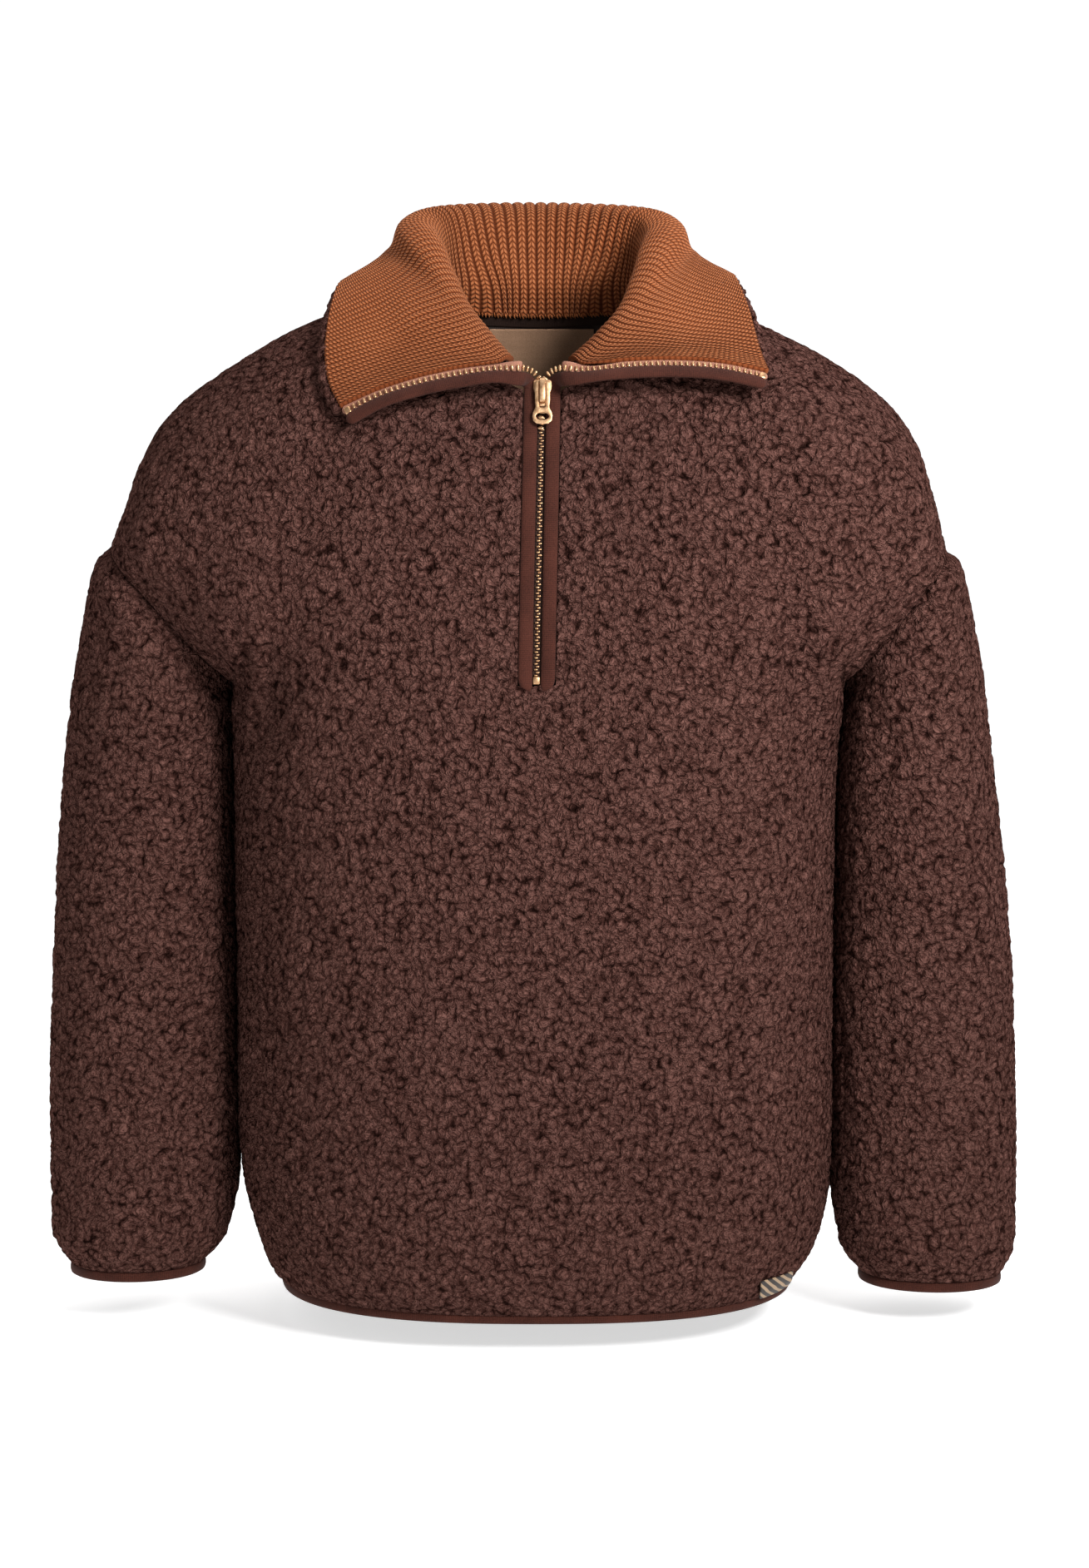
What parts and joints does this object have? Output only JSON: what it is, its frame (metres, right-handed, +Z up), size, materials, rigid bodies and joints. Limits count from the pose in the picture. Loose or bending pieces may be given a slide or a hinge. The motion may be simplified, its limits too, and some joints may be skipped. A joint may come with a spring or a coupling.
{
  "type": "half-zip fleece sweater",
  "caption": "Curly wool fleece sweater filled out as worn: dropped sleeves, bound hem and cuffs, rib-lined stand collar folded open over a half zip.",
  "frame": {"origin": "the middle of the neck at the height of the shoulders, where the wearer carries the garment", "axes": "+X to the viewer's right, -Y out of the front with the zip, +Z up out of the collar"},
  "size_m": [0.6457, 0.2999, 0.7219],
  "materials": {
    "fleece": "curly wool pile, dark brown",
    "rib_knit": "rib knit, rust orange",
    "binding": "smooth knit, reddish brown",
    "zip_tape": "woven tape with metal teeth",
    "zip_metal": "polished",
    "woven_label": "woven, matt"
  },
  "bodies": {
    "garment": {"front": "fleece", "back": "fleece", "sleeve_left": "fleece", "sleeve_right": "fleece", "collar_fleece": "fleece", "collar_rib": "rib_knit", "hem_binding": "binding", "cuff_binding_left": "binding", "cuff_binding_right": "binding", "zip_binding_left": "binding", "zip_binding_right": "binding", "zip_tape_left": "zip_tape", "zip_tape_right": "zip_tape", "zip_chain": "zip_tape", "slider": "zip_metal", "neck_label": "woven_label", "hem_tag": "woven_label"},
    "pull_tab": {"pull_tab": "zip_metal"}
  },
  "joints": [
    {"name": "pull_tab_swing", "type": "hinge", "parent": "garment", "child": "pull_tab", "pos_m": [0.0012, -0.1018, -0.0425], "axis": [-1, 0, 0], "range_deg": [0, 150]}
  ]
}
